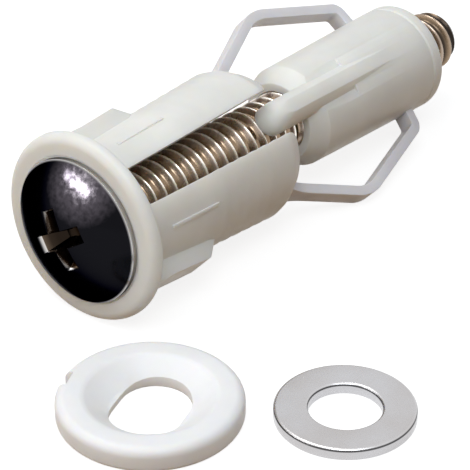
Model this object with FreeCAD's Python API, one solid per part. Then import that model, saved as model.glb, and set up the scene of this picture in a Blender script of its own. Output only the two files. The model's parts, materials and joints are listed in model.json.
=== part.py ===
import FreeCAD, Part
import math
import os

V = FreeCAD.Vector
os.makedirs("parts", exist_ok=True)

# Sizes in millimetres, angles in degrees. The fixing is drawn about its screw axis: x runs
# from the head to the tip with x = 0 on the seat face behind the flange. The slots of the
# plug face +z and -z, its fins and straps stand at +y and -y. It is laid down at the end.

# Screw: quarter-inch shank with a coarse thread, low domed head, cross recess.
thread_d = 6.35
screw_length = 55.7
tip_d = 4.6
tip_length = 1.8
head_d = 14.3
head_edge = 0.5
dome_height = 2.5
recess_span = 6.4
recess_width = 1.75
recess_depth = 2.5
recess_lead = 0.2
recess_foot_span = 2.6
recess_foot_width = 0.9
recess_clock = 16.0

# Plug: flange, split sleeve with ring ridges, fins and crush ribs.
flange_d = 18.7
flange_t = 2.3
flange_front_round = 1.1
flange_rear_chamfer = 0.4
head_seat_depth = 0.1
sleeve_length = 21.5
sleeve_neck = 3.0
sleeve_root_d = 13.7
sleeve_tip_d = 15.4
jaw_end_d = 13.9
jaw_bevel = 1.5
ridge_count = 7
ridge_height = 0.12
ridge_zone = 11.0
mouth_d = 11.0
mouth_taper = 6.0
slot_collar = 0.9
slot_root_width = 3.8
slot_tip_width = 5.0
slot_corner_round = 1.1
fin_length = 9.5
fin_slant = 1.7
fin_root_d = 16.3
fin_tip_d = 17.0
fin_root_width = 5.0
fin_tip_width = 3.2
crush_rib_width = 0.35
crush_rib_height = 0.16
crush_rib_start = 3.0
crush_rib_length = 6.4
crush_rib_clock = 42.0

# Expander nut: a slow cone with two guide ribs that reach forward into the slots.
nut_gap = 5.1
nut_length = 21.0
nut_front_d = 8.15
nut_shoulder_d = 10.6
nut_chamfer = 1.75
nut_rear_d = 11.3
nut_lip_length = 1.6
nut_lip_step = 0.15
nut_rear_chamfer = 0.5
nut_flat_depth = 0.4
nut_flat_width = 4.8
nut_flat_length = 6.7
rib_d = 12.0
rib_width = 3.1
rib_top_width = 1.5
rib_reach = 6.0
rib_run = 9.4
rib_nose = 1.9
rib_side = 1.5
rib_back_round = 2.0
rib_brow_round = 0.5
rib_edge_round = 0.3
rib_top_round = 0.25
rib_nose_round = 1.47
rib_blend_sink = 0.05

# Straps: two thin bowed strips that tie the jaw ends to the sides of the nut.
strap_width = 1.9
strap_t = 1.05
strap_crown_d = 22.0
strap_crown_start = 9.0
strap_crown_length = 1.6
strap_root_d = 12.2
strap_knee_d = 14.8
strap_foot_setback = 5.1
strap_crown_bend = 3.0
strap_knee_bend = 1.0
strap_knee_lead = 0.5
strap_sink = 1.0

# Loose plastic washer with a dished face and a round-ended hole.
pad_d = 16.9
pad_t = 2.4
pad_edge_round = 0.9
pad_foot_chamfer = 0.5
pad_dish_d = 12.0
pad_dish_depth = 0.8
pad_dish_slope = 2.0
pad_hole_extra = 2.0
pad_hole_end_round = 3.26
pad_hole_clock = 17.5
pad_notch_width = 2.0
pad_notch_depth = 0.9
pad_notch_clock = 113.0

# Loose steel washer.
washer_d = 12.8
washer_t = 1.15
washer_chamfer = 0.2

# How far cutting tools run past a face.
cut_over = 1.0

# Clearances on the radius.
head_clear = 0.2
sleeve_clear = 0.35
nut_clear = 0.05
rib_clear = 0.3
pad_clear = 0.15
washer_clear = 0.15

# How the set lies: the roll of the slots about the screw, and the loose washers' places
# on the floor, measured from the point under the seat face.
lie_roll = 41.5
pad_place_x = -9.8
pad_place_y = -15.4
washer_place_x = 1.2
washer_place_y = -28.7

thread_r = thread_d / 2
head_r = head_d / 2
flange_r = flange_d / 2
bore_r = thread_r + sleeve_clear
seat_x = head_seat_depth - flange_t
rim_x = seat_x - head_edge
apex_x = rim_x - dome_height
tip_x = seat_x + screw_length
nut_x = sleeve_length + nut_gap
nut_end = nut_x + nut_length
AXIS = V(1, 0, 0)
ORIGIN = V(0, 0, 0)
# Share of a rounding's radius by which the middle of its quarter arc stands in from the corner.
ARC_MIDDLE = 1 - math.cos(math.pi / 4)


def rounded(corners):
    """Face in the xy plane from corners (x, y, rounding radius)."""
    count = len(corners)
    starts = []
    ends = []
    arcs = []
    for i in range(count):
        x, y, r = corners[i]
        p = V(x, y, 0)
        to_last = V(corners[i - 1][0], corners[i - 1][1], 0) - p
        to_next = V(corners[(i + 1) % count][0], corners[(i + 1) % count][1], 0) - p
        to_last.normalize()
        to_next.normalize()
        if r == 0:
            starts.append(p)
            ends.append(p)
            arcs.append(None)
            continue
        half = to_last.getAngle(to_next) / 2
        inward = to_last + to_next
        inward.normalize()
        middle = p + inward * (r / math.sin(half) - r)
        starts.append(p + to_last * (r / math.tan(half)))
        ends.append(p + to_next * (r / math.tan(half)))
        arcs.append(Part.Arc(starts[-1], middle, ends[-1]).toShape())
    edges = []
    for i in range(count):
        if arcs[i]:
            edges.append(arcs[i])
        onward = starts[(i + 1) % count]
        if (onward - ends[i]).Length > 1e-6:
            edges.append(Part.makeLine(ends[i], onward))
    return Part.Face(Part.Wire(edges))


def turned(corners):
    """Solid of revolution about the screw axis from corners (x, radius, rounding)."""
    return rounded(corners).revolve(ORIGIN, AXIS, 360)


def side_slab(corners, width):
    """Slab of the given width across z from a side outline in x and y."""
    slab = rounded(corners).extrude(V(0, 0, width))
    slab.translate(V(0, 0, -width / 2))
    return slab


def about_axis(shape, angle):
    """Copy of a shape turned about the screw axis."""
    copy = shape.copy()
    copy.rotate(ORIGIN, AXIS, angle)
    return copy


def band(path, thickness):
    """Corners of a strip of even thickness along a path of (x, y, bend radius)."""
    left = []
    right = []
    for i in range(len(path)):
        x, y, bend = path[i]
        p = V(x, y, 0)
        before = V(path[max(i - 1, 0)][0], path[max(i - 1, 0)][1], 0)
        after = V(path[min(i + 1, len(path) - 1)][0], path[min(i + 1, len(path) - 1)][1], 0)
        run_in = p - before if i > 0 else after - p
        run_out = after - p if i < len(path) - 1 else run_in
        run_in = V(run_in).normalize()
        run_out = V(run_out).normalize()
        normal_in = V(-run_in.y, run_in.x, 0)
        normal_out = V(-run_out.y, run_out.x, 0)
        offset = (normal_in + normal_out) * (thickness / 2 / (1 + normal_in.dot(normal_out)))
        turn = run_in.x * run_out.y - run_in.y * run_out.x
        side = math.copysign(thickness / 2, turn)
        left.append((p.x + offset.x, p.y + offset.y, bend - side if bend else 0))
        right.append((p.x - offset.x, p.y - offset.y, bend + side if bend else 0))
    return left + right[::-1]


def sleeve_r(x):
    """Outside radius of the sleeve, straight behind the flange and then flared."""
    share = max(x - sleeve_neck, 0) / (sleeve_length - jaw_bevel - sleeve_neck)
    return (sleeve_root_d + (sleeve_tip_d - sleeve_root_d) * share) / 2


def make_screw():
    """Domed screw with a plain shank of the thread's outer diameter."""
    ball_r = (head_r ** 2 + dome_height ** 2) / (2 * dome_height)
    lean = math.asin(head_r / ball_r) / 2
    mid = V(apex_x + ball_r * (1 - math.cos(lean)), ball_r * math.sin(lean), 0)
    corners = [V(rim_x, head_r, 0), V(seat_x, head_r, 0), V(seat_x, thread_r, 0)]
    corners += [V(tip_x - tip_length, thread_r, 0), V(tip_x, tip_d / 2, 0), V(tip_x, 0, 0)]
    corners += [V(apex_x, 0, 0)]
    dome = Part.Arc(V(apex_x, 0, 0), mid, V(rim_x, head_r, 0)).toShape()
    outline = Part.Wire([dome] + Part.makePolygon(corners).Edges)
    screw = Part.Face(outline).revolve(ORIGIN, AXIS, 360)
    for clock in (recess_clock, recess_clock + 90):
        screw = screw.cut(about_axis(recess_bar(), clock))
    return screw


def recess_bar():
    """Tapered bar that sinks two opposite wings of the cross recess."""
    rings = []
    for x, span, width in (
        (apex_x - recess_lead, recess_span, recess_width),
        (apex_x + recess_depth, recess_foot_span, recess_foot_width),
    ):
        a = span / 2
        b = width / 2
        rings.append(Part.makePolygon([V(x, -a, -b), V(x, a, -b), V(x, a, b), V(x, -a, b), V(x, -a, -b)]))
    return Part.makeLoft(rings, True, True)


def make_sleeve():
    """Flanged plug with two slots, ring ridges, fins and crush ribs."""
    ease = flange_front_round * ARC_MIDDLE
    corners = [(seat_x, bore_r, 0), (seat_x, head_r + head_clear, 0)]
    corners += [(-flange_t, head_r + head_clear, 0), (-flange_t, flange_r - flange_front_round, 0)]
    corners += [(ease - flange_t, flange_r - ease, 0), (flange_front_round - flange_t, flange_r, 0)]
    corners += [(-flange_rear_chamfer, flange_r, 0)]
    corners += [(0, flange_r - flange_rear_chamfer, 0), (0, sleeve_r(0), 0), (sleeve_neck, sleeve_r(0), 0)]
    ridge_end = sleeve_length - jaw_bevel
    pitch = ridge_zone / ridge_count
    for i in range(ridge_count):
        x = ridge_end - ridge_zone + i * pitch
        corners += [(x, sleeve_r(x), 0), (x + pitch / 2, sleeve_r(x + pitch / 2) + ridge_height, 0)]
    corners += [(ridge_end, sleeve_r(ridge_end), 0), (sleeve_length, jaw_end_d / 2, 0)]
    corners += [(sleeve_length, mouth_d / 2, 0), (sleeve_length - mouth_taper, bore_r, 0)]
    sleeve = turned(corners)
    lugs = []
    for turn in (0, 180):
        lugs.append(about_axis(make_fin(), turn))
        lugs.append(about_axis(make_crush_rib(), turn + 90 - crush_rib_clock))
        lugs.append(about_axis(make_crush_rib(), turn + 90 + crush_rib_clock))
    return sleeve.fuse(lugs).cut(make_slots()).removeSplitter()


def make_fin():
    """Fin against turning, wide at the flange, with a slanted rear end."""
    foot = (bore_r + sleeve_r(0)) / 2
    profile = [(-flange_t / 2, foot, 0), (fin_length, foot, 0), (fin_length, sleeve_r(fin_length), 0)]
    profile += [(fin_length - fin_slant, fin_tip_d / 2, 0), (sleeve_neck, fin_root_d / 2, 0)]
    profile += [(-flange_t / 2, fin_root_d / 2, 0)]
    plan = [V(-flange_t, 0, fin_root_width / 2), V(fin_length, 0, fin_tip_width / 2)]
    plan += [V(fin_length, 0, -fin_tip_width / 2), V(-flange_t, 0, -fin_root_width / 2)]
    wedge = Part.Face(Part.makePolygon(plan + plan[:1])).extrude(V(0, flange_r, 0))
    return side_slab(profile, fin_root_width * 2).common(wedge)


def make_crush_rib():
    """Hair-thin rib along the sleeve."""
    end = crush_rib_start + crush_rib_length
    foot = (bore_r + sleeve_r(0)) / 2
    low = [(crush_rib_start, foot, 0), (end, foot, 0)]
    high = [(end, sleeve_r(end) + crush_rib_height, 0)]
    high += [(crush_rib_start, sleeve_r(crush_rib_start) + crush_rib_height, 0)]
    return side_slab(low + high, crush_rib_width)


def make_slots():
    """Two opposite slots that widen towards the jaw ends and round their corners."""
    near = slot_root_width / 2
    far = slot_tip_width / 2
    flare = far + slot_corner_round * 2
    end = sleeve_length
    corners = [(slot_collar, -near, 0), (end, -far, slot_corner_round), (end, -flare, 0)]
    corners += [(end + cut_over, -flare, 0), (end + cut_over, flare, 0)]
    corners += [(end, flare, 0), (end, far, slot_corner_round), (slot_collar, near, 0)]
    slots = rounded(corners).extrude(V(0, 0, flange_d))
    slots.translate(V(0, 0, -flange_r))
    return slots


def make_nut():
    """Conical nut with a stepped rear lip and two guide ribs."""
    lip_x = nut_end - nut_lip_length
    lip_r = nut_rear_d / 2 - nut_lip_step
    bore = thread_r + nut_clear
    corners = [(nut_x, bore, 0), (nut_x, nut_front_d / 2, 0)]
    corners += [(nut_x + nut_chamfer, nut_shoulder_d / 2, 0), (lip_x, nut_rear_d / 2, 0)]
    corners += [(lip_x, lip_r, 0), (nut_end - nut_rear_chamfer, lip_r, 0)]
    corners += [(nut_end, lip_r - nut_rear_chamfer, 0), (nut_end, bore, 0)]
    cone = turned(corners)
    flat_r = nut_shoulder_d / 2 - nut_flat_depth
    for turn in (0, 180):
        flat = Part.makeBox(nut_flat_length + cut_over, nut_flat_width, nut_rear_d)
        flat.translate(V(nut_x - cut_over, -nut_flat_width / 2, flat_r))
        cone = cone.cut(about_axis(flat, turn))
    return cone.fuse([make_rib(), about_axis(make_rib(), 180)]).removeSplitter()


def make_rib():
    """Guide rib with a rounded nose, sloping into the cone behind."""
    nose_x = nut_x - rib_reach
    back_x = nut_x + rib_run
    half = rib_width / 2
    crest = rib_top_width / 2
    low = thread_r + rib_clear
    top = rib_d / 2
    slope = (nut_rear_d - nut_shoulder_d) / (nut_length - nut_lip_length - nut_chamfer) / 2
    blend_r = nut_shoulder_d / 2 + (rib_run - nut_chamfer) * slope - rib_blend_sink
    profile = [(nose_x, low, 0), (back_x, low, 0), (back_x, blend_r, 0), (nut_x, top, rib_back_round)]
    profile += [(nose_x + rib_nose, top, rib_brow_round), (nose_x, top - rib_side, rib_edge_round)]
    body = side_slab(profile, rib_width)
    body.rotate(ORIGIN, AXIS, 90)
    section = [(-half, 0, 0), (half, 0, 0), (half, top - rib_side, rib_edge_round)]
    section += [(crest, top, rib_top_round), (-crest, top, rib_top_round)]
    section += [(-half, top - rib_side, rib_edge_round)]
    bar = rounded(section).extrude(V(0, 0, back_x - nose_x))
    bar.rotate(ORIGIN, V(1, 1, 1), 120)
    bar.translate(V(nose_x, 0, 0))
    plan = [(nose_x, -half, rib_nose_round), (back_x, -half, 0), (back_x, half, 0)]
    plan += [(nose_x, half, rib_nose_round)]
    blank = rounded(plan).extrude(V(0, 0, rib_d))
    return body.common(bar).common(blank)


def strap_path():
    """Middle line of a strap from inside the jaw end to inside the nut."""
    crown = strap_crown_d / 2 - strap_t / 2
    crown_x = sleeve_length + strap_crown_start
    root = strap_root_d / 2
    rise = (crown - root) / strap_crown_start
    foot_x = nut_end - strap_foot_setback
    path = [(sleeve_length - strap_sink, root - rise * strap_sink, 0), (crown_x, crown, strap_crown_bend)]
    path += [(crown_x + strap_crown_length, crown, strap_crown_bend)]
    path += [(foot_x - strap_knee_lead, strap_knee_d / 2, strap_knee_bend)]
    path += [(foot_x, thread_r + strap_sink, 0)]
    return path


def make_strap(side):
    """Bowed strip on one side, cut flush with the jaw end and the nut's cone."""
    strap = side_slab(band(strap_path(), strap_t), strap_width)
    jaw = Part.makeBox(sleeve_length, flange_d, flange_d, V(0, -flange_r, -flange_r))
    strap = strap.cut(jaw)
    if side < 0:
        strap = about_axis(strap, 180)
    return strap.cut(make_nut())


def make_pad():
    """Plastic washer with rounded rim, dished face, round-ended hole and a rim notch."""
    floor_r = pad_dish_d / 2 - pad_dish_slope
    ease = pad_edge_round * ARC_MIDDLE
    rim = [(0, 0, 0), (pad_d / 2 - pad_foot_chamfer, 0, 0), (pad_d / 2, pad_foot_chamfer, 0)]
    rim += [(pad_d / 2, pad_t - pad_edge_round, 0), (pad_d / 2 - ease, pad_t - ease, 0)]
    rim += [(pad_d / 2 - pad_edge_round, pad_t, 0), (pad_dish_d / 2, pad_t, 0)]
    rim += [(floor_r, pad_t - pad_dish_depth, 0), (0, pad_t - pad_dish_depth, 0)]
    face = rounded(rim)
    face.rotate(ORIGIN, AXIS, 90)
    pad = face.revolve(ORIGIN, V(0, 0, 1), 360)
    across = thread_r + pad_clear
    along = across + pad_hole_extra / 2
    corners = [(-along, -across, pad_hole_end_round), (along, -across, pad_hole_end_round)]
    corners += [(along, across, pad_hole_end_round), (-along, across, pad_hole_end_round)]
    hole = rounded(corners).extrude(V(0, 0, pad_t * 3))
    hole.translate(V(0, 0, -pad_t))
    hole.rotate(ORIGIN, V(0, 0, 1), pad_hole_clock)
    notch = Part.makeBox(pad_notch_depth + cut_over, pad_notch_width, pad_t * 3)
    notch.translate(V(pad_d / 2 - pad_notch_depth, -pad_notch_width / 2, -pad_t))
    notch.rotate(ORIGIN, V(0, 0, 1), pad_notch_clock)
    return pad.cut(hole).cut(notch)


def make_washer():
    """Flat steel washer with broken edges."""
    inner = thread_r + washer_clear
    outer = washer_d / 2
    edge = washer_chamfer
    ring = [(inner + edge, 0, 0), (outer - edge, 0, 0), (outer, edge, 0), (outer, washer_t - edge, 0)]
    ring += [(outer - edge, washer_t, 0), (inner + edge, washer_t, 0)]
    ring += [(inner, washer_t - edge, 0), (inner, edge, 0)]
    face = rounded(ring)
    face.rotate(ORIGIN, AXIS, 90)
    return face.revolve(ORIGIN, V(0, 0, 1), 360)


def lie_tilt():
    """Angle by which the tip dips when flange rim and lower strap both touch the floor."""
    roll = math.radians(lie_roll)
    crown_drop = strap_crown_d / 2 * math.sin(roll) + strap_width / 2 * math.cos(roll)
    foot_x = sleeve_length + strap_crown_start + strap_crown_length
    return math.degrees(math.atan2(flange_r - crown_drop, foot_x + flange_rear_chamfer))


def main():
    """Build every piece, lay the set down and write one file per piece."""
    fixing = {
        "screw": make_screw(),
        "expansion_sleeve": make_sleeve(),
        "expander_nut": make_nut(),
        "upper_strap": make_strap(1),
        "lower_strap": make_strap(-1),
    }
    pieces = {}
    for name, shape in fixing.items():
        shape.rotate(ORIGIN, AXIS, lie_roll)
        shape.rotate(ORIGIN, V(0, 1, 0), lie_tilt())
        pieces[name] = shape
    floor = pieces["expansion_sleeve"].optimalBoundingBox(False).ZMin
    pieces["plastic_washer"] = make_pad()
    pieces["plastic_washer"].translate(V(pad_place_x, pad_place_y, floor))
    pieces["steel_washer"] = make_washer()
    pieces["steel_washer"].translate(V(washer_place_x, washer_place_y, floor))
    box = Part.makeCompound(list(pieces.values())).optimalBoundingBox(False)
    shift = V(-(box.XMin + box.XMax) / 2, -(box.YMin + box.YMax) / 2, -box.ZMin)
    for name, shape in pieces.items():
        shape.translate(shift)
        shape.exportStep("parts/" + name + ".step")
    return pieces, shift


PIECES, SHIFT = main()
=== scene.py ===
# %% [markdown]
# # An expanding bolt for a toilet seat hinge
# The fixing is a domed screw in a split plastic plug, with a cone-shaped nut on two thin straps and
# two loose washers beside it. Nearly all of it is round about the screw, so it is drawn in millimetres
# about that line, and each finished mesh is then laid down on the floor where the frame has it.

# %% Load the frame
import json
import math

import bmesh
import bpy
from mathutils import Matrix, Vector


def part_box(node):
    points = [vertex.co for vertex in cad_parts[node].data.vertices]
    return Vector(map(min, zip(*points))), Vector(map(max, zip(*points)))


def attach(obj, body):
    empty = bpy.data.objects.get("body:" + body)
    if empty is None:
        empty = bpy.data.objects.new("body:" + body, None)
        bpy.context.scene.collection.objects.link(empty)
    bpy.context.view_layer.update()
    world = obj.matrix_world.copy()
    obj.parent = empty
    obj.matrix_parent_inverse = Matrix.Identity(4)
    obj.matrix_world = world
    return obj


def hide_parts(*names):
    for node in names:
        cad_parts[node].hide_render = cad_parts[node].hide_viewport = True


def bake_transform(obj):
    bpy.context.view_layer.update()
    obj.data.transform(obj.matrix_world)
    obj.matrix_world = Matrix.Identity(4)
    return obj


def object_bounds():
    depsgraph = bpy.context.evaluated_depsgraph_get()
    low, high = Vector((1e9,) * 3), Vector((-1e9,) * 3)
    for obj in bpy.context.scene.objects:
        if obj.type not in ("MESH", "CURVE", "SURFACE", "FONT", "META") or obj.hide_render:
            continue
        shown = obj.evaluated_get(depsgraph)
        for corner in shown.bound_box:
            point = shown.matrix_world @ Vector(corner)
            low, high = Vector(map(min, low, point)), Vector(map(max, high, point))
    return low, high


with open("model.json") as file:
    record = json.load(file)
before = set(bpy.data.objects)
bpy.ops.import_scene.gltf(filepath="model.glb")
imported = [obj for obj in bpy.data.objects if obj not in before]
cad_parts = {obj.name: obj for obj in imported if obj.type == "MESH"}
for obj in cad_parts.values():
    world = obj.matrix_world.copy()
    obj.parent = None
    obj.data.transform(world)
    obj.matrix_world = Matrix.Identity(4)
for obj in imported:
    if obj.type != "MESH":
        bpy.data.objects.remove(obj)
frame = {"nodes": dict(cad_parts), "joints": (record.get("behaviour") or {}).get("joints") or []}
cad_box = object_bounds()
print("nodes", sorted(frame["nodes"]))

# %% [markdown]
# ## Where the screw lies
# The frame's turning joint gives a point on the screw and its direction. From them comes one matrix
# that takes a mesh drawn about the x axis in millimetres to its place in metres. The seat face
# behind the flange is x = 0, and the two slots of the plug face +z and -z before the roll.

# %% Lay the drawing down
MM = 0.001
ROLL = math.radians(41.5)
screw_joint = next(j for j in frame["joints"] if j["name"] == "screw_turn")
screw_axis = Vector(screw_joint["axis"])
tilt = math.atan2(-screw_axis.z, screw_axis.x)
lean = Matrix.Rotation(tilt, 4, "Y") @ Matrix.Rotation(ROLL, 4, "X")
LAY_DOWN = Matrix.Translation(screw_joint["pos_m"]) @ lean @ Matrix.Scale(MM, 4)
print("tilt of the screw, degrees:", round(math.degrees(tilt), 2))

# %% [markdown]
# ## Outlines and turned shapes
# Nearly every piece here was turned or moulded round, so its half section is drawn once and spun.
# A section could be typed in as many points along each rounding. Here it has only its true corners,
# and a vertex bevel rounds them, which keeps the sizes readable.

# %% Outline and spin
ORIGIN = (0, 0, 0)
X_AXIS = (1, 0, 0)
Y_AXIS = (0, 1, 0)
Z_AXIS = (0, 0, 1)
ROUND_STEPS = 8
SPIN_STEPS = 128
TOUCHING = 1e-4


def outline(corners):
    """New bmesh with one face in the xy plane from corners (x, y, rounding)."""
    bm = bmesh.new()
    verts = [bm.verts.new((x, y, 0)) for x, y, _ in corners]
    bm.faces.new(verts)
    for i, (x, y, rounding) in enumerate(corners):
        if rounding == 0:
            continue
        here = Vector((x, y))
        back = Vector(corners[i - 1][:2]) - here
        onward = Vector(corners[(i + 1) % len(corners)][:2]) - here
        reach = rounding / math.tan(back.angle(onward) / 2)
        bmesh.ops.bevel(bm, geom=[verts[i]], offset=reach, offset_type="ABSOLUTE",
                        affect="VERTICES", segments=ROUND_STEPS, profile=0.5, material=-1)
    return bm


def close_up(bm):
    """Merge doubles and turn all faces outwards."""
    bmesh.ops.remove_doubles(bm, verts=bm.verts, dist=TOUCHING)
    bmesh.ops.recalc_face_normals(bm, faces=bm.faces)
    return bm


def spin_round(bm, axis):
    """Spin a wire all the way round an axis and close it up."""
    bmesh.ops.spin(bm, geom=bm.verts[:] + bm.edges[:], axis=axis, cent=ORIGIN,
                   angle=2 * math.pi, steps=SPIN_STEPS, use_merge=True)
    return close_up(bm)


def turned(corners, axis=X_AXIS):
    """Closed solid of revolution from a half section."""
    bm = outline(corners)
    bmesh.ops.delete(bm, geom=bm.faces[:], context="FACES_ONLY")
    return spin_round(bm, axis)


print("roundings take", ROUND_STEPS, "steps and a full turn", SPIN_STEPS)

# %% [markdown]
# ## Drawn-out shapes and cuts
# Fins, ribs and straps are flat outlines drawn out to a width. A cube could be scaled to each, but
# an outline has the slants and roundings from the start. Raising its cap again and again gives
# shapes that narrow, and cutting edges across a shape lets it bend there.

# %% Extrude, swing and slice
def raise_cap(bm, cap, height):
    """Extrude a cap along z and give the new cap and its vertices."""
    inner = len(bm.faces) > len(cap)
    grown = bmesh.ops.extrude_face_region(bm, geom=cap)["geom"]
    if inner:
        bmesh.ops.delete(bm, geom=cap, context="FACES_ONLY")
    ring = [v for v in grown if isinstance(v, bmesh.types.BMVert)]
    bmesh.ops.translate(bm, verts=ring, vec=(0, 0, height))
    return [f for f in grown if isinstance(f, bmesh.types.BMFace)], ring


def rectangle(start, end, half, rounding=0):
    """Corners of a rectangle along x, equally wide on both sides of it."""
    return [(start, -half, rounding), (end, -half, rounding), (end, half, rounding),
            (start, half, rounding)]


def slab(corners, width):
    """Outline extruded to a width centred on its plane."""
    bm = outline(corners)
    bmesh.ops.translate(bm, verts=bm.verts, vec=(0, 0, -width / 2))
    raise_cap(bm, bm.faces[:], width)
    return close_up(bm)


def swing(bm, degrees, axis):
    """Turn a bmesh about an axis through the origin."""
    bmesh.ops.rotate(bm, verts=bm.verts, cent=ORIGIN,
                     matrix=Matrix.Rotation(math.radians(degrees), 3, axis))
    return bm


def slice_at(bm, place, normal, drop_outer=False):
    """Cut edges along a plane, and drop what lies beyond it if asked to."""
    bmesh.ops.bisect_plane(bm, geom=bm.verts[:] + bm.edges[:] + bm.faces[:], dist=TOUCHING,
                           plane_co=place, plane_no=normal, clear_outer=drop_outer)


print("points closer than", TOUCHING, "mm are one")

# %% [markdown]
# ## Joining, cutting and softening
# A moulded piece is one skin. Fins, ribs and slots could be left as loose overlapping meshes, but a
# boolean makes the real joint lines, and a narrow bevel then softens every sharp edge as a mould
# does, so that edges catch light.

# %% Solids and booleans
BOTH_SIDES = (0, 180)


def solid(name, bm):
    """Object from a bmesh, linked to the scene."""
    mesh = bpy.data.meshes.new(name)
    bm.to_mesh(mesh)
    bm.free()
    body = bpy.data.objects.new(name, mesh)
    bpy.context.scene.collection.objects.link(body)
    return body


def combine(body, tool, operation):
    """Boolean of a tool with a body, which keeps the result as its mesh."""
    step = body.modifiers.new(operation, "BOOLEAN")
    step.operation = operation
    step.object = tool
    step.solver = "EXACT"
    depsgraph = bpy.context.evaluated_depsgraph_get()
    result = bpy.data.meshes.new_from_object(body.evaluated_get(depsgraph))
    body.modifiers.clear()
    body.data = result
    bpy.data.objects.remove(tool)


print("pieces of the plug are mirrored at", BOTH_SIDES, "degrees")

# %% Softened edges and dressing
NEARLY_TOUCHING = 1e-3
SHARP_DEGREES = 32
CREASE_DEGREES = 30


def soften(body, width, segments=2, angle=SHARP_DEGREES):
    """Bevel all edges of a body that are sharper than an angle in degrees."""
    bm = bmesh.new()
    bm.from_mesh(body.data)
    bmesh.ops.remove_doubles(bm, verts=bm.verts, dist=NEARLY_TOUCHING)
    bmesh.ops.dissolve_degenerate(bm, edges=bm.edges, dist=NEARLY_TOUCHING)
    sharp = [e for e in bm.edges if e.is_manifold and e.calc_face_angle() > math.radians(angle)]
    bmesh.ops.bevel(bm, geom=sharp, offset=width, offset_type="OFFSET", affect="EDGES",
                    segments=segments, profile=0.5, material=-1, clamp_overlap=True)
    bm.to_mesh(body.data)
    bm.free()


def dress(body, material, rider, lay=LAY_DOWN, angle=CREASE_DEGREES):
    """Place a finished mesh, shade it, and give it its material and carrier."""
    body.data.transform(lay)
    body.data.shade_smooth()
    body.data.set_sharp_from_angle(angle=math.radians(angle))
    body.data.materials.clear()
    body.data.materials.append(material)
    if rider:
        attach(body, rider)
    print(body.name, len(body.data.polygons), "faces")


def mark_by(body, name, measure):
    """Store on each vertex what a measure gives for its place."""
    marks = body.data.attributes.new(name, "FLOAT", "POINT")
    for mark, vert in zip(marks.data, body.data.vertices):
        mark.value = measure(vert.co)


print("edges over", SHARP_DEGREES, "degrees are softened")

# %% [markdown]
# ## Node helpers
# Every finish below is a small node tree. It could be wired by hand in the shader editor, but one
# helper that adds a node and sets its sockets by name lets each recipe read as a list of what it
# mixes. Sizes of noise are given in millimetres, as they would be measured on the part.

# %% Nodes and materials
def add_node(tree, kind, links=None, **settings):
    """Node of a kind with its attributes set and its input sockets linked or set."""
    made = tree.nodes.new(kind)
    for key, value in settings.items():
        setattr(made, key, value)
    for socket, value in (links or {}).items():
        if isinstance(value, bpy.types.NodeSocket):
            tree.links.new(value, made.inputs[socket])
        else:
            made.inputs[socket].default_value = value
    return made


def new_finish(name):
    """Material with its tree, its shader and its object coordinates."""
    material = bpy.data.materials.new(name)
    material.use_nodes = True
    tree = material.node_tree
    shader = tree.nodes["Principled BSDF"]
    place = tree.nodes.new("ShaderNodeTexCoord").outputs["Object"]
    return material, tree, shader, place


print("materials before ours:", len(bpy.data.materials))

# %% Ramps, noise and relief
NOISE_LOW = 0.3
NOISE_HIGH = 0.7


def ramp(tree, factor, stops):
    """Colour ramp from (position, colour) stops."""
    made = add_node(tree, "ShaderNodeValToRGB", {"Fac": factor})
    steps = made.color_ramp.elements
    while len(steps) < len(stops):
        steps.new(0.5)
    for step, (position, colour) in zip(steps, stops):
        step.position = position
        step.color = (*colour, 1)
    return made.outputs["Color"]


def level(tree, noise, low, high):
    """Number that runs from low to high over the usual range of a noise."""
    made = add_node(tree, "ShaderNodeMapRange", {
        "Value": noise, "From Min": NOISE_LOW, "From Max": NOISE_HIGH,
        "To Min": low, "To Max": high})
    return made.outputs["Result"]


def cloud(tree, place, size_mm, detail=4.0):
    """Soft noise whose patches are about a size in millimetres."""
    made = add_node(tree, "ShaderNodeTexNoise", {
        "Vector": place, "Scale": 1 / (size_mm * MM), "Detail": detail})
    return made.outputs["Fac"]


def bump(tree, shader, height, depth_mm, strength):
    """Surface relief of a depth in millimetres."""
    made = add_node(tree, "ShaderNodeBump", {
        "Height": height, "Distance": depth_mm * MM, "Strength": strength})
    tree.links.new(made.outputs["Normal"], shader.inputs["Normal"])


print("noise is read from", NOISE_LOW, "to", NOISE_HIGH)

# %% [markdown]
# ## Natural plastic
# The plug is unpigmented plastic: milky, a little translucent and slightly uneven in tone, with a
# satin skin from the mould. Plain white paint would look like chalk, so light is let into the
# surface with subsurface scattering, and clouds of noise vary its tone, its gloss and its skin.

# %% Plug and washer plastics
TONE_MM = 4.5
TONE_LOW = 0.3
TONE_HIGH = 0.72
GLOSS_MM = 1.4
SATIN = (0.34, 0.5)
SKIN_MM = 0.45
SKIN_DEPTH = 0.012
SKIN_STRENGTH = 0.6
GLOW_REACH = (1.0, 0.74, 0.42)
PLASTIC_IOR = 1.5
PLASTIC_SHINE = 0.3


def moulded_plastic(name, dark, light, glow_mm, milky):
    """Satin translucent plastic between two tones."""
    material, tree, shader, place = new_finish(name)
    tone = ramp(tree, cloud(tree, place, TONE_MM), [(TONE_LOW, dark), (TONE_HIGH, light)])
    gloss = level(tree, cloud(tree, place, GLOSS_MM), *SATIN)
    tree.links.new(tone, shader.inputs["Base Color"])
    tree.links.new(gloss, shader.inputs["Roughness"])
    bump(tree, shader, cloud(tree, place, SKIN_MM), SKIN_DEPTH, SKIN_STRENGTH)
    shader.inputs["Subsurface Weight"].default_value = milky
    shader.inputs["Subsurface Radius"].default_value = GLOW_REACH
    shader.inputs["Subsurface Scale"].default_value = glow_mm * MM
    shader.inputs["IOR"].default_value = PLASTIC_IOR
    shader.inputs["Specular IOR Level"].default_value = PLASTIC_SHINE
    return material


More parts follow.
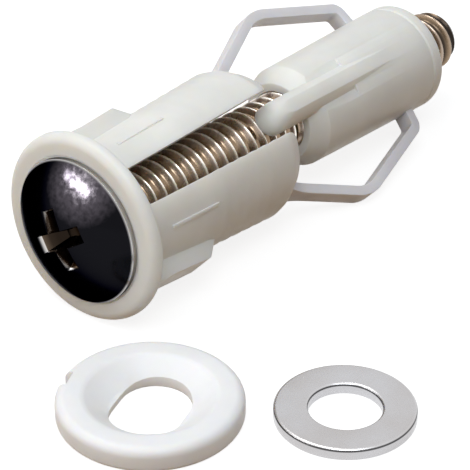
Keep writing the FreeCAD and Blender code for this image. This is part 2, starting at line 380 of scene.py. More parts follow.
plug_plastic = moulded_plastic(
    "milky_plastic", dark=(0.745, 0.74, 0.705), light=(0.80, 0.795, 0.76), glow_mm=2.2, milky=0.5)
strap_plastic = moulded_plastic(
    "thin_milky_plastic", dark=(0.69, 0.68, 0.71), light=(0.76, 0.75, 0.775), glow_mm=1.0, milky=0.4)
washer_plastic = moulded_plastic(
    "white_plastic", dark=(0.82, 0.82, 0.83), light=(0.87, 0.87, 0.875), glow_mm=1.2, milky=0.35)
print("plastics:", plug_plastic.name, strap_plastic.name, washer_plastic.name)

# %% [markdown]
# ## The steels
# The head is polished until it is a dark mirror. A lighter speckled patch on it is painted sheen, its
# rim and the edge of its recess carry painted highlight, and its recess darkens with depth as brown
# painted shade. The thread is plain stainless whose roots are painted dark brown as shade and
# reflection and whose crests carry painted highlight lines, and the washer is a stamped ring whose
# rounded edges are painted dark as a reflection. Such tones could be painted by hand, but each mesh
# knows its own depth and radius, so it stores them as an attribute and a ramp reads that.

# %% Head polish
METAL_DEPTH = 0.004
METAL_STRENGTH = 0.4
# The haze patch is painted sheen: a lighter, speckled patch on the upper side of the dome that stands
# for a reflection.
SHEEN_PATCH_PLACE = Vector((-3.5, 2.9, 5.4))
SHEEN_PATCH_RADIUS = 4.4
SHEEN_PATCH_TONES = [(0.03, (0.008, 0.008, 0.010)), (0.3, (0.09, 0.08, 0.095)), (0.55, (0.36, 0.33, 0.37))]
# Painted highlight on the rim and on the recess's edge, and painted shade that darkens the recess with
# depth.
GLINT_AND_SHADE_TONES = [(0.1, (0.35, 0.34, 0.34)), (0.2, (0.5, 0.49, 0.48)), (0.3, (0.72, 0.69, 0.66)),
              (0.36, (0.10, 0.072, 0.05)), (0.9, (0.02, 0.014, 0.01))]
GLINT_AND_SHADE_SHARE = [(0.04, (0, 0, 0)), (0.16, (1, 1, 1))]
MIRROR = (0.1, 0.2)
DARK_TINT = (0.16, 0.16, 0.18, 1)


def ramp_by_attribute(tree, attribute, stops):
    """Colour ramp driven by an attribute of the mesh."""
    painted_glint_and_shade = add_node(tree, "ShaderNodeAttribute", attribute_name=attribute)
    return ramp(tree, painted_glint_and_shade.outputs["Fac"], stops)


def dark_polish(name, sheen_place):
    """Nearly black mirror polish with a speckled patch of painted sheen, painted highlight on its rim
    and recess edge, and painted brown shade in its recess.
    """
    material, tree, shader, place = new_finish(name)
    scale = 1 / (SHEEN_PATCH_RADIUS * MM)
    centred = add_node(tree, "ShaderNodeMapping", {
        "Vector": place, "Location": -sheen_place * scale, "Scale": (scale, scale, scale)})
    sheen_patch = add_node(tree, "ShaderNodeTexGradient", {"Vector": centred.outputs["Vector"]},
                     gradient_type="SPHERICAL")
    speckled_sheen = add_node(tree, "ShaderNodeMath", {
        0: sheen_patch.outputs["Fac"], 1: cloud(tree, place, 0.45, 8.0)}, operation="MULTIPLY")
    colour = add_node(tree, "ShaderNodeMix", {
        0: ramp_by_attribute(tree, "painted_glint_and_shade", GLINT_AND_SHADE_SHARE), 6: ramp(tree, speckled_sheen.outputs[0], SHEEN_PATCH_TONES),
        7: ramp_by_attribute(tree, "painted_glint_and_shade", GLINT_AND_SHADE_TONES)}, data_type="RGBA")
    gloss = level(tree, cloud(tree, place, 0.5, 8.0), *MIRROR)
    tree.links.new(colour.outputs[2], shader.inputs["Base Color"])
    tree.links.new(gloss, shader.inputs["Roughness"])
    bump(tree, shader, cloud(tree, place, 0.25, 6.0), METAL_DEPTH, METAL_STRENGTH)
    shader.inputs["Metallic"].default_value = 1.0
    shader.inputs["Specular Tint"].default_value = DARK_TINT
    return material


head_polish = dark_polish("head_polish", LAY_DOWN @ SHEEN_PATCH_PLACE)
print("finish", head_polish.name)

# %% Thread and washer steels
STAIN_TONES = [(0.3, (0.9, 0.87, 0.84)), (0.7, (1, 1, 1))]
# Painted shade and highlight on the thread: the roots are painted dark brown as shade and reflection,
# and the crests carry painted highlight lines.
THREAD_TONES = [(0.0, (0.03, 0.024, 0.02)), (0.4, (0.31, 0.225, 0.15)), (0.6, (0.42, 0.335, 0.265)),
                (0.84, (0.50, 0.42, 0.365)), (0.93, (0.97, 0.93, 0.86))]
# Painted reflection on the washer: its rounded upper edges are painted dark.
RING_EDGE_REFLECTION_TONES = [(0.0, (0.58, 0.58, 0.60)), (0.25, (0.66, 0.66, 0.68)), (0.5, (0.06, 0.06, 0.064)),
              (0.85, (0.12, 0.12, 0.125)), (1.0, (0.56, 0.56, 0.58))]


def stained_steel(name, attribute, tones, stain_mm, gloss):
    """Steel whose tone follows an attribute, under soft stains."""
    material, tree, shader, place = new_finish(name)
    stain = ramp(tree, cloud(tree, place, stain_mm, 5.0), STAIN_TONES)
    colour = add_node(tree, "ShaderNodeMix", {0: 1.0, 6: ramp_by_attribute(tree, attribute, tones), 7: stain},
                      data_type="RGBA", blend_type="MULTIPLY")
    rough = level(tree, cloud(tree, place, 0.3, 6.0), *gloss)
    tree.links.new(colour.outputs[2], shader.inputs["Base Color"])
    tree.links.new(rough, shader.inputs["Roughness"])
    bump(tree, shader, cloud(tree, place, 0.2, 6.0), METAL_DEPTH, METAL_STRENGTH)
    shader.inputs["Metallic"].default_value = 1.0
    return material


thread_finish = stained_steel("thread_steel_painted_shade", "crest", THREAD_TONES, 2.2, (0.2, 0.3))
washer_finish = stained_steel("stamped_steel", "edge", RING_EDGE_REFLECTION_TONES, 5.0, (0.24, 0.34))
print("finishes", thread_finish.name, washer_finish.name)

# %% [markdown]
# ## The screw's head
# A low dome with a cross recess for a driver. The dome is an arc: one vertex spun about the centre
# of the ball draws it, and the section then runs down the rim to the seat. A cross could be drawn
# by two overlapping bars, but one plus-shaped outline, drawn in and drawn smaller towards the
# bottom, cuts cleanly in a single boolean.

# %% Dome
SEAT_X = -2.2
HEAD_R = 7.15
HEAD_EDGE = 0.5
DOME = 2.5
DOME_STEPS = 28
RIM_X = SEAT_X - HEAD_EDGE
APEX_X = RIM_X - DOME
BALL_R = (HEAD_R ** 2 + DOME ** 2) / (2 * DOME)
BALL_X = APEX_X + BALL_R
SHANK_R = 2.6
STUB_X = SEAT_X + 0.5


def make_dome():
    """Domed head from a spun arc, with its rim, its underside and a stub inside the thread."""
    bm = bmesh.new()
    start = bm.verts.new((APEX_X, 0, 0))
    arc = bmesh.ops.spin(bm, geom=[start], axis=Z_AXIS, cent=(BALL_X, 0, 0),
                         angle=-math.asin(HEAD_R / BALL_R), steps=DOME_STEPS)
    last = arc["geom_last"][0]
    for x, radius in ((SEAT_X, HEAD_R), (SEAT_X, SHANK_R), (STUB_X, SHANK_R), (STUB_X, 0)):
        corner = bm.verts.new((x, radius, 0))
        bm.edges.new((last, corner))
        last = corner
    return solid("screw_head", spin_round(bm, X_AXIS))


screw_head = make_dome()
print("dome", [round(s, 2) for s in screw_head.dimensions])

# %% Cross recess
RECESS_SPAN = 6.4
RECESS_WIDTH = 1.75
RECESS_CLOCK = 16
RECESS_LEAD = 0.3
RECESS_STEPS = ((0.4, 1.0), (1.7, 0.78), (2.9, 0.5))  # depth, and size next to the step before
RECESS_SOFT = 0.09


def make_recess():
    """Plus-shaped tool that narrows towards its point."""
    a = RECESS_SPAN / 2
    b = RECESS_WIDTH / 2
    plus = []
    for quarter in range(4):
        for x, y in ((a, -b), (a, b), (b, b)):
            spun = Matrix.Rotation(quarter * math.pi / 2, 2) @ Vector((x, y))
            plus.append((spun.x, spun.y, 0))
    bm = outline(plus)
    tip = bm.faces[:]
    deep = 0
    for depth, share in RECESS_STEPS:
        tip, rim = raise_cap(bm, tip, depth - deep)
        bmesh.ops.scale(bm, verts=rim, vec=(share, share, 1))
        deep = depth
    swing(bm, 90, "Y")
    swing(bm, RECESS_CLOCK, "X")
    bmesh.ops.translate(bm, verts=bm.verts, vec=(APEX_X - RECESS_LEAD, 0, 0))
    return solid("recess_tool", close_up(bm))


combine(screw_head, make_recess(), "DIFFERENCE")
soften(screw_head, RECESS_SOFT, segments=3, angle=28)
print("recess cut,", len(screw_head.data.polygons), "faces")

# %% Head's painted highlight and shade
# Where the head gets painted highlight (rim, recess edge) and painted shade (deeper in the recess).
RIM_BAND = 0.08
RIM_GLINT = 0.2
RECESS_EDGE = 0.02
RECESS_EDGE_GLINT = 0.3
RECESS_SHADE_PER_MM = 0.5


def head_glint_and_shade(place):
    """Painted highlight on the rim and the recess's edge, and brown painted shade that deepens with
    depth in the recess.
    """
    radius = math.hypot(place.y, place.z)
    sunk = BALL_R - (place - Vector((BALL_X, 0, 0))).length - RECESS_EDGE
    if radius > HEAD_R - RIM_BAND:
        return RIM_GLINT
    if radius < RECESS_SPAN and sunk > 0:
        return min(RECESS_EDGE_GLINT + RECESS_SHADE_PER_MM * sunk, 1.0)
    return 0.0


mark_by(screw_head, "painted_glint_and_shade", head_glint_and_shade)
dress(screw_head, head_polish, "screw", angle=25)

# %% [markdown]
# ## The thread
# A coarse rolled thread: broad roots and narrow crests. One pitch of its section, spun while it moves
# along the screw, sweeps the whole helix, and each turn meets the last so that merging the doubles
# closes the skin. The alternative, stacked rings, would not climb as a thread does. Near the head
# the thread runs out into a plain shank, and at the tip it shrinks into a rounded end.

# %% Thread section
THREAD_R = 3.175
PITCH = 1.45
THREAD_DEPTH = 0.56
CREST_FLAT = 0.16
FLANK_RUN = 0.33


def thread_section():
    """Wire of one pitch of the thread in the xy plane, from root to root."""
    root = THREAD_R - THREAD_DEPTH
    foot = (PITCH - CREST_FLAT) / 2 - FLANK_RUN
    crest = foot + FLANK_RUN
    points = [(0, root), (foot, root), (crest, THREAD_R), (crest + CREST_FLAT, THREAD_R),
              (PITCH - foot, root), (PITCH, root)]
    bm = bmesh.new()
    verts = [bm.verts.new((x, y, 0)) for x, y in points]
    for a, b in zip(verts, verts[1:]):
        bm.edges.new((a, b))
    bmesh.ops.subdivide_edges(bm, edges=bm.edges[:], cuts=2)
    between = [v for v in bm.verts if v not in (verts[0], verts[-1])]
    bmesh.ops.smooth_vert(bm, verts=between, factor=0.5, use_axis_y=True)
    return bm


print("thread", 2 * THREAD_R, "mm across, pitch", PITCH)

# %% Thread sweep
THREAD_START = -1.8
TIP_X = 53.5
TURN_STEPS = 40
SPARE_TURNS = 2


def make_thread():
    """Right-hand thread, cut off square and closed at both ends."""
    bm = thread_section()
    turns = math.ceil((TIP_X - THREAD_START) / PITCH) + SPARE_TURNS
    bmesh.ops.translate(bm, verts=bm.verts, vec=(THREAD_START - SPARE_TURNS * PITCH, 0, 0))
    bmesh.ops.spin(bm, geom=bm.verts[:] + bm.edges[:], axis=X_AXIS, cent=ORIGIN,
                   dvec=(PITCH / TURN_STEPS, 0, 0), angle=2 * math.pi * turns,
                   steps=TURN_STEPS * turns)
    bmesh.ops.remove_doubles(bm, verts=bm.verts, dist=NEARLY_TOUCHING)
    for x, side in ((THREAD_START, -1), (TIP_X, 1)):
        slice_at(bm, (x, 0, 0), (side, 0, 0), drop_outer=True)
    for x in (THREAD_START, TIP_X):
        rim = [e for e in bm.edges
               if e.is_boundary and abs(e.verts[0].co.x - x) < NEARLY_TOUCHING]
        bmesh.ops.holes_fill(bm, edges=rim)
    return close_up(bm)


thread_mesh = make_thread()
print("thread", len(thread_mesh.faces), "faces")

# %% Run-out, tip and painted shade
NEAR_AXIS = 0.1
RUNOUT_END = 2.6
RUNOUT_SINK = 0.12
TIP_LENGTH = 2.2
TIP_R = 2.2
TIP_CURVE = 2.2
# The last stretch of the thread is darkened towards the tip as painted shade.
TIP_SHADE_LENGTH = 6.0
TIP_SHADE_DROP = 0.62
ROOT_DROP = 0.6


def shape_ends(bm):
    """Fill the run-out behind the head and round the tip."""
    for v in bm.verts:
        radius = math.hypot(v.co.y, v.co.z)
        if radius < NEAR_AXIS:
            continue
        wanted = radius
        if v.co.x < RUNOUT_END:
            share = min((RUNOUT_END - v.co.x) / PITCH, 1)
            wanted += (THREAD_R - RUNOUT_SINK - radius) * share * share * (3 - 2 * share)
        if v.co.x > TIP_X - TIP_LENGTH:
            share = (v.co.x - TIP_X + TIP_LENGTH) / TIP_LENGTH
            wanted = min(wanted, THREAD_R - (THREAD_R - TIP_R) * share ** TIP_CURVE)
        v.co.y *= wanted / radius
        v.co.z *= wanted / radius


def thread_sheen_and_shade(place):
    """Painted shade and highlight: from 0.4 at the dark root to 1 at the bright crest, and less
    towards the tip as painted shade.
    """
    tip_shade = max(0, 1 - (TIP_X - place.x) / TIP_SHADE_LENGTH)
    above_crest = (math.hypot(place.y, place.z) - THREAD_R) / THREAD_DEPTH
    return 1 + ROOT_DROP * above_crest - TIP_SHADE_DROP * tip_shade


shape_ends(thread_mesh)
screw_thread = solid("screw_thread", thread_mesh)
mark_by(screw_thread, "crest", thread_sheen_and_shade)
dress(screw_thread, thread_finish, "screw", angle=50)
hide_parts("screw")

# %% [markdown]
# ## The split sleeve
# A flange with a sloping back cups the head, and behind it a flared tube is split by two slots into
# jaws that the nut spreads. Ring ridges grip the bowl's hole, two fins stop it turning and hair-thin
# ribs take up play. The round body is spun from its section, fins and ribs are joined to it, and the
# slots are cut last so that they cut everything. Their walls lean, as a mould's do, so one wide
# slab that is pinched at the outside cuts both at once.

# %% Sleeve section
BORE_R = 3.525
FLANGE_R = 9.35
FLANGE_T = 2.3
FLANGE_LIP = 1.2
FLANGE_BACK_R = 7.7
FLANGE_ROUND = 1.0
LIP_ROUND = 0.25
CUP_R = 7.35
CUP_ROUND = 0.05
SLEEVE_L = 21.5
NECK = 3.0
NECK_ROUND = 0.3
SLEEVE_ROOT_R = 6.85
SLEEVE_TIP_R = 7.7
JAW_END_R = 6.95
JAW_BEVEL = 1.5
JAW_X = SLEEVE_L - JAW_BEVEL
RIDGES = 7
RIDGE_ZONE = 11.0
RIDGE_HEIGHT = 0.2
MOUTH_R = 5.5
MOUTH_TAPER = 6.0


def sleeve_r(x):
    """Outside radius of the sleeve, straight behind the flange and then flared."""
    share = max(x - NECK, 0) / (JAW_X - NECK)
    return SLEEVE_ROOT_R + (SLEEVE_TIP_R - SLEEVE_ROOT_R) * share


def make_sleeve():
    """Flanged tube with ring ridges."""
    section = [(SEAT_X, BORE_R, 0), (SEAT_X, CUP_R, 0), (-FLANGE_T, CUP_R, CUP_ROUND),
               (-FLANGE_T, FLANGE_R, FLANGE_ROUND), (FLANGE_LIP - FLANGE_T, FLANGE_R, LIP_ROUND),
               (0, FLANGE_BACK_R, NECK_ROUND), (0, SLEEVE_ROOT_R, NECK_ROUND),
               (NECK, SLEEVE_ROOT_R, 0)]
    step = RIDGE_ZONE / RIDGES
    for i in range(RIDGES):
        dip = JAW_X - RIDGE_ZONE + i * step
        top = dip + step / 2
        section += [(dip, sleeve_r(dip), 0), (top, sleeve_r(top) + RIDGE_HEIGHT, 0)]
    section += [(JAW_X, sleeve_r(JAW_X), 0.5), (SLEEVE_L, JAW_END_R, 0.35),
                (SLEEVE_L, MOUTH_R, 0.2), (SLEEVE_L - MOUTH_TAPER, BORE_R, 0)]
    return solid("sleeve", turned(section))


sleeve = make_sleeve()
print("sleeve", [round(s, 2) for s in sleeve.dimensions])

# %% Fins and crush ribs
FIN_L = 9.5
FIN_SLANT = 1.7
FIN_SINK = 1.6
FIN_ROOT_R = 8.15
FIN_TIP_R = 8.5
FIN_ROUND = 0.3
FIN_ROOT_WIDTH = 5.0
FIN_TIP_WIDTH = 3.2
CRUSH_START = 3.0
CRUSH_L = 6.4
CRUSH_SINK = 0.4
CRUSH_SLOPE = 0.5
CRUSH_HEIGHT = 0.12
CRUSH_WIDTH = 0.35
CRUSH_CLOCK = 42


def make_fin():
    """Fin that narrows away from the flange, with a slanted rear end."""
    low = SLEEVE_ROOT_R - FIN_SINK
    front = -FLANGE_T / 2
    bm = slab([(front, low, 0), (FIN_L, low, 0), (FIN_L, sleeve_r(FIN_L), 0),
               (FIN_L - FIN_SLANT, FIN_TIP_R, FIN_ROUND), (NECK, FIN_ROOT_R, 0),
               (front, FIN_ROOT_R, 0)], FIN_ROOT_WIDTH)
    for v in bm.verts:
        share = (v.co.x + FLANGE_T) / (FIN_L + FLANGE_T)
        v.co.z *= 1 + (FIN_TIP_WIDTH / FIN_ROOT_WIDTH - 1) * share
    return bm


def make_crush_rib():
    """Hair-thin rib along the sleeve with a sloped rear end."""
    low = SLEEVE_ROOT_R - CRUSH_SINK
    end = CRUSH_START + CRUSH_L
    return slab([(CRUSH_START, low, 0), (end, low, 0), (end, sleeve_r(end), 0),
                 (end - CRUSH_SLOPE, sleeve_r(end) + CRUSH_HEIGHT, 0),
                 (CRUSH_START, SLEEVE_ROOT_R + CRUSH_HEIGHT, 0)], CRUSH_WIDTH)


for side in BOTH_SIDES:
    combine(sleeve, solid("fin_tool", swing(make_fin(), side, "X")), "UNION")
    for clock in (90 - CRUSH_CLOCK, 90 + CRUSH_CLOCK):
        combine(sleeve, solid("rib_tool", swing(make_crush_rib(), side + clock, "X")), "UNION")
print("sleeve with fins", len(sleeve.data.polygons), "faces")

# %% Slots
OVERRUN = 1
SLOT_COLLAR = 0.9
SLOT_ROOT = 1.9
SLOT_TIP = 2.5
SLOT_ROUND = 0.3
SLOT_LEAN = 0.1
JAW_CORNER = 1.1
SLEEVE_SOFT = 0.13


def make_slots():
    """Tool for both slots, wider at the jaw ends and inwards, and rounding the jaws' corners."""
    flare = SLOT_TIP + 2 * JAW_CORNER
    half = [(SLOT_COLLAR, SLOT_ROOT, SLOT_ROUND), (SLEEVE_L, SLOT_TIP, JAW_CORNER),
            (SLEEVE_L, flare, 0), (SLEEVE_L + OVERRUN, flare, 0)]
    bm = slab(half + [(x, -y, rounding) for x, y, rounding in reversed(half)], 4 * FLANGE_R)
    slice_at(bm, ORIGIN, Z_AXIS)
    for v in bm.verts:
        v.co.y += math.copysign(1, v.co.y) * SLOT_LEAN * (SLEEVE_ROOT_R - abs(v.co.z))
    return solid("slot_tool", bm)


combine(sleeve, make_slots(), "DIFFERENCE")
soften(sleeve, SLEEVE_SOFT)
dress(sleeve, plug_plastic, "plug")
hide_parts("expansion_sleeve")

# %% [markdown]
# ## The cone nut
# The nut is a slow cone with a chamfered nose and a tapered lip at the back. Two guide ribs reach
# forward into the slots so that it cannot turn. A rib could be a plain box, but the real one is like
# a thumb: round in plan, with sides and nose that lean in to a narrow top. So its plan is drawn once
# and raised level by level, each a little narrower and set back at the nose.

# %% Nut cone
NUT_X = 26.6
NUT_END = 47.6
NUT_BORE = 3.225
NUT_FRONT_R = 4.075
NUT_SHOULDER_R = 5.3
NUT_REAR_R = 5.65
NUT_CHAMFER = 1.75
LIP_X = NUT_END - 2.3
LIP_GROOVE = 0.34
LIP_GROOVE_DEPTH = 0.18
LIP_TAPER = 1.0
LIP_END_R = 4.6


def make_cone():
    """Turned cone with a chamfered nose and a tapered lip behind a thin groove."""
    section = [(NUT_X, NUT_BORE, 0.1), (NUT_X, NUT_FRONT_R, 0.15),
               (NUT_X + NUT_CHAMFER, NUT_SHOULDER_R, 0.3)]
    section += [(LIP_X - LIP_GROOVE / 2, NUT_REAR_R, 0), (LIP_X, NUT_REAR_R - LIP_GROOVE_DEPTH, 0),
                (LIP_X + LIP_GROOVE / 2, NUT_REAR_R, 0)]
    section += [(NUT_END - LIP_TAPER, NUT_REAR_R, 0.5), (NUT_END, LIP_END_R, 0.4),
                (NUT_END, NUT_BORE, 0.15)]
    return solid("nut", turned(section))


nut = make_cone()
print("nut", [round(s, 2) for s in nut.dimensions])

# %% Flats beside the ribs
FLAT_R = 4.9
FLAT_L = 6.7
FLAT_HALF = 2.4
FLAT_CUT = 4


def make_flat():
    """Tool for the flat beside a rib."""
    bm = slab(rectangle(NUT_X - OVERRUN, NUT_X + FLAT_L, FLAT_HALF), FLAT_CUT)
    bmesh.ops.translate(bm, verts=bm.verts, vec=(0, 0, FLAT_R + FLAT_CUT / 2))
    return bm


for side in BOTH_SIDES:
    combine(nut, solid("flat_tool", swing(make_flat(), side, "X")), "DIFFERENCE")
print("nut with flats", len(nut.data.polygons), "faces")

# %% Guide ribs
RIB_LOW = 3.475
RIB_HALF = 1.55
RIB_NOSE = 20.6
RIB_NOSE_ROUND = 0.95 * RIB_HALF
RIB_BACK = 40.0
RIB_TOP = 6.0
RIB_SINK = 0.52
RIB_LEVELS = ((4.5, 1.0, 0.1), (5.1, 0.87, 0.45), (5.7, 0.62, 1.25), (RIB_TOP, 0.44, 1.9))
NUT_SOFT = 0.07


def make_rib():
    """Thumb with a round nose whose sides lean in to a narrow top, sinking into the cone."""
    bm = outline([(RIB_NOSE, -RIB_HALF, RIB_NOSE_ROUND), (RIB_BACK, -RIB_HALF, 0),
                  (RIB_BACK, RIB_HALF, 0), (RIB_NOSE, RIB_HALF, RIB_NOSE_ROUND)])
    bmesh.ops.translate(bm, verts=bm.verts, vec=(0, 0, RIB_LOW))
    cap = bm.faces[:]
    last = (RIB_LOW, 1.0, 0.0)
    for height, width, setback in RIB_LEVELS:
        cap, ring = raise_cap(bm, cap, height - last[0])
        bmesh.ops.scale(bm, verts=ring, vec=(1, width / last[1], 1))
        nose = [v for v in ring if v.co.x < NUT_X]
        bmesh.ops.translate(bm, verts=nose, vec=(setback - last[2], 0, 0))
        last = (height, width, setback)
    slice_at(bm, (NUT_X, 0, 0), X_AXIS)
    for v in bm.verts:
        if v.co.x > NUT_X:
            along = (v.co.x - NUT_X) / (RIB_BACK - NUT_X)
            v.co.z -= RIB_SINK * along * (v.co.z - RIB_LOW) / (RIB_TOP - RIB_LOW)
    return close_up(bm)


for side in BOTH_SIDES:
    combine(nut, solid("rib_tool", swing(make_rib(), side, "X")), "UNION")
soften(nut, NUT_SOFT)
dress(nut, plug_plastic, "nut")
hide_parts("expander_nut")

# %% [markdown]
# ## The straps
# Two thin strips tie the jaws to the nut and bow outwards, and they buckle as the nut is drawn in.
# Each is a bent strip seen from the side: its middle line is offset to both sides, the corners are
# rounded and the outline is drawn out to the strip's width, and many cross cuts are made along it.

# %% Strip along a route
STRAP_WIDTH = 1.9
STRAP_T = 1.05
STRAP_ROUTE = ((20.9, 5.81, 0), (30.5, 10.475, 3.0), (32.1, 10.475, 3.0), (42.0, 7.4, 1.0),
               (42.5, 4.6, 0))


def strip(route, thickness):
    """Corners of a strip of even thickness along a route of (x, y, bend)."""
    left = []
    right = []
    for i, (x, y, bend) in enumerate(route):
        here = Vector((x, y))
        came = (here - Vector(route[i - 1][:2])).normalized() if i > 0 else None
        goes = (Vector(route[i + 1][:2]) - here).normalized() if i + 1 < len(route) else came
        came = came or goes
        reach = thickness / 2 / math.cos(came.angle(goes) / 2)
        across = (came + goes).orthogonal().normalized() * reach
        grow = math.copysign(thickness / 2, came.cross(goes)) if bend else 0
        left.append((x + across.x, y + across.y, bend - grow))
        right.append((x - across.x, y - across.y, bend + grow))
    return left + right[::-1]


print("strap outline has", len(strip(STRAP_ROUTE, STRAP_T)), "corners")

# %% Straps
STRAP_CUT = 0.7
STRAP_SOFT = 0.2
ROOT_FLARE = 0.8
ROOT_RUN = 2.6


def make_strap(name, side):
    """Bent strip from inside a jaw's end to inside the nut, flared at its root."""
    bm = slab(strip(STRAP_ROUTE, STRAP_T), STRAP_WIDTH)
    first, last = STRAP_ROUTE[0][0], STRAP_ROUTE[-1][0]
    for i in range(1, math.ceil((last - first) / STRAP_CUT)):
        slice_at(bm, (first + i * STRAP_CUT, 0, 0), X_AXIS)
    for v in bm.verts:
        near_root = max(0, 1 - (v.co.x - SLEEVE_L) / ROOT_RUN)
        v.co.z *= 1 + ROOT_FLARE * near_root ** 2
    return solid(name, swing(close_up(bm), side, "X"))


for name, node, side in (("strap_up", "upper_strap", 0), ("strap_down", "lower_strap", 180)):
    strap = make_strap(name, side)
    soften(strap, STRAP_SOFT, segments=3, angle=45)
    dress(strap, strap_plastic, None)
    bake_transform(strap)
    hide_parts(node)

# %% [markdown]
# ## The loose washers
# The white washer spreads the load on the porcelain. It has a rounded rim, a funnel round a long
# hole and a small step in its rim. The steel one is a plain stamped ring with broken edges. Both
# are spun about z where they lie, and only the white one needs cutting.

# %% White washer
PAD_R = 8.45
PAD_T = 2.4
PAD_ROUND = 0.9
PAD_FOOT_ROUND = 0.5
PAD_SOFT = 0.15
DISH_R = 6.0
DISH_ROUND = 1.0
DISH_FLOOR_R = 3.7
DISH_FLOOR_ROUND = 0.4
DISH_Z = 0.6
TOOL_HEIGHT = 20
HOLE_R = 3.325
HOLE_HALF = HOLE_R + 1.0
HOLE_ROUND = 0.98 * HOLE_R
HOLE_CLOCK = 17.5
NOTCH_WIDTH = 2.0
NOTCH_R = PAD_R - 0.9
NOTCH_CUT = 2
NOTCH_CLOCK = 113


def centre_of(node):
    """Place on the floor under the middle of a node, as a matrix from millimetres."""
    low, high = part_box(node)
    under = Matrix.Translation(((low.x + high.x) / 2, (low.y + high.y) / 2, low.z))
    return under @ Matrix.Scale(MM, 4)


def turned_flat(section):
    """Solid turned about z from a half section of (radius, height, rounding)."""
    return swing(turned(section, axis=Y_AXIS), 90, "X")


def make_pad():
    """Rounded washer with a funnel, a round-ended hole and a notch."""
    pad = solid("white_washer", turned_flat([
        (0, 0, 0), (PAD_R, 0, PAD_FOOT_ROUND), (PAD_R, PAD_T, PAD_ROUND),
        (DISH_R, PAD_T, DISH_ROUND), (DISH_FLOOR_R, DISH_Z, DISH_FLOOR_ROUND), (0, DISH_Z, 0)]))
    hole = slab(rectangle(-HOLE_HALF, HOLE_HALF, HOLE_R, HOLE_ROUND), TOOL_HEIGHT)
    combine(pad, solid("hole_tool", swing(hole, HOLE_CLOCK, "Z")), "DIFFERENCE")
    notch = slab(rectangle(NOTCH_R, NOTCH_R + NOTCH_CUT, NOTCH_WIDTH / 2), TOOL_HEIGHT)
    combine(pad, solid("notch_tool", swing(notch, NOTCH_CLOCK, "Z")), "DIFFERENCE")
    return pad


white_washer = make_pad()
soften(white_washer, PAD_SOFT, segments=3, angle=28)
dress(white_washer, washer_plastic, "plug", lay=centre_of("plastic_washer"))
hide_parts("plastic_washer")

# %% Steel washer
RING_R = 6.4
RING_HOLE = 3.325
RING_T = 1.15
RING_EDGE = 0.3
RING_FOOT = 0.15


def ring_edge(place):
    """How far a place on the ring is down the rounding of its upper edges, from 0 to 1."""
    return min(max((RING_T - place.z) / RING_EDGE, 0), 1)


steel_ring = solid("steel_ring", turned_flat([
    (RING_HOLE, 0, RING_FOOT), (RING_R, 0, RING_FOOT), (RING_R, RING_T, RING_EDGE),
    (RING_HOLE, RING_T, RING_EDGE)]))
mark_by(steel_ring, "edge", ring_edge)
dress(steel_ring, washer_finish, "plug", lay=centre_of("steel_washer"))
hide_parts("steel_washer")

# %% [markdown]
# ## Floor and light
# The floor is white to the camera and in reflections, and keeps a faint grey contact shadow, because
# its diffuse light is added to the white instead of being covered by it. What it sends back to the
# object is weak and warm, as from a wooden table top, so that undersides stay darker and tan. Two
# large soft lamps above give the plain light, and a narrow one at the side draws a line on the head.

# %% Floor
FLOOR_HALF = 3
FLOOR_BOUNCE = (0.29, 0.155, 0.035, 1)
FLOOR_GREY = (0.32, 0.32, 0.32, 1)
FLOOR_GLOW = 0.84
WHITE = (1, 1, 1, 1)


def seen_directly(tree):
    """One for rays of the camera, of reflections and of transmission, else zero."""
    path = tree.nodes.new("ShaderNodeLightPath").outputs
    either = add_node(tree, "ShaderNodeMath", {
        0: path["Is Camera Ray"], 1: path["Is Glossy Ray"]}, operation="MAXIMUM")
    any_of_them = add_node(tree, "ShaderNodeMath", {
        0: either.outputs[0], 1: path["Is Transmission Ray"]}, operation="MAXIMUM")
    return any_of_them.outputs[0]


def show_or_light(tree, shown, lighting, out_kind):
    """Show one shader to the eye, and let the other one light the object."""
    choice = add_node(tree, "ShaderNodeMixShader", {
        0: seen_directly(tree), 1: lighting.outputs[0], 2: shown.outputs[0]})
    add_node(tree, out_kind, {"Surface": choice.outputs[0]})


def floor_paint():
    """White to the eye with a faint shadow, warm and weak in its bounce."""
    material = bpy.data.materials.new("pale_floor")
    material.use_nodes = True
    tree = material.node_tree
    tree.nodes.clear()
    bounce = add_node(tree, "ShaderNodeBsdfDiffuse", {"Color": FLOOR_BOUNCE})
    grey = add_node(tree, "ShaderNodeBsdfDiffuse", {"Color": FLOOR_GREY})
    glow = add_node(tree, "ShaderNodeEmission", {"Color": WHITE, "Strength": FLOOR_GLOW})
    shown = add_node(tree, "ShaderNodeAddShader", {0: grey.outputs[0], 1: glow.outputs[0]})
    show_or_light(tree, shown, bounce, "ShaderNodeOutputMaterial")
    return material


floor_mesh = bmesh.new()
bmesh.ops.create_grid(floor_mesh, x_segments=1, y_segments=1, size=FLOOR_HALF)
floor = solid("floor", floor_mesh)
floor.data.materials.append(floor_paint())
print("floor", floor.dimensions[:2])

# %% World
SKY = (0.96, 0.98, 1, 1)
SKY_STRENGTH = 0.24

world = bpy.data.worlds.new("studio")
bpy.context.scene.world = world
world.use_nodes = True
world_tree = world.node_tree
world_tree.nodes.clear()
soft = add_node(world_tree, "ShaderNodeBackground", {"Color": SKY, "Strength": SKY_STRENGTH})
bright = add_node(world_tree, "ShaderNodeBackground", {"Color": WHITE, "Strength": 1.0})
show_or_light(world_tree, bright, soft, "ShaderNodeOutputWorld")
print("sky lights the object at", SKY_STRENGTH)

# %% Lamps
middle = (cad_box[0] + cad_box[1]) / 2


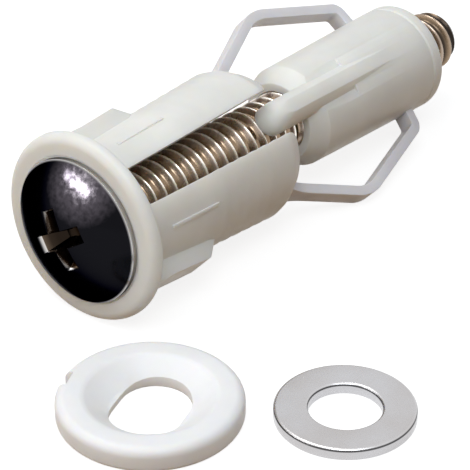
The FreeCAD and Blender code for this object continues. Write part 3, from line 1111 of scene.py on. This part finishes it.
def softbox(name, place, size, watts, colour):
    """Soft lamp at a place in metres, turned to the middle of the object."""
    lamp = bpy.data.lights.new(name, "AREA")
    lamp.shape = "RECTANGLE"
    lamp.size, lamp.size_y = size
    lamp.energy = watts
    lamp.color = colour
    holder = bpy.data.objects.new(name, lamp)
    bpy.context.scene.collection.objects.link(holder)
    holder.location = place
    holder.rotation_euler = (middle - Vector(place)).to_track_quat("-Z", "Y").to_euler()


softbox("key", (-0.1, 0.14, 0.44), size=(0.22, 0.22), watts=0.88, colour=(1, 0.99, 0.97))
softbox("fill", (-0.22, -0.21, 0.48), size=(0.3, 0.3), watts=1.4, colour=(0.9, 0.95, 1))
softbox("side_strip", (-0.337, 0.199, 0.167), size=(0.24, 0.05), watts=0.35, colour=(1, 1, 1))
print("lamps around", [round(c, 4) for c in middle])

# %% [markdown]
# ## Camera
# The photograph was taken with a long lens from the head's end, well above the screw. The lens and
# the place are given from the middle of the head's rim, in the camera's own right and forward
# directions, so that the view holds if the part is shifted.

# %% Camera
FOCAL_PX = 2426
IMAGE_PX = 470
SENSOR = 36
NEAREST = 0.01
VIEW_TURN = math.radians(49.63)
VIEW_DROP = math.radians(32.62)
ASIDE = 0.01463
BACK = 0.18812
ABOVE = 0.12004

camera_data = bpy.data.cameras.new("camera")
camera_data.sensor_width = SENSOR
camera_data.lens = FOCAL_PX / IMAGE_PX * SENSOR
camera_data.clip_start = NEAREST
camera = bpy.data.objects.new("camera", camera_data)
bpy.context.scene.collection.objects.link(camera)
forward = Vector((math.sin(VIEW_TURN), math.cos(VIEW_TURN), 0))
right = Vector((forward.y, -forward.x, 0))
rim_centre = LAY_DOWN @ Vector((RIM_X, 0, 0))
camera.location = rim_centre + ASIDE * right - BACK * forward + Vector((0, 0, ABOVE))
look = math.cos(VIEW_DROP) * forward - Vector((0, 0, math.sin(VIEW_DROP)))
camera.rotation_euler = look.to_track_quat("-Z", "Y").to_euler()
bpy.context.scene.camera = camera
bpy.context.scene.view_settings.view_transform = "Standard"
print("camera at", [round(c, 4) for c in camera.location])
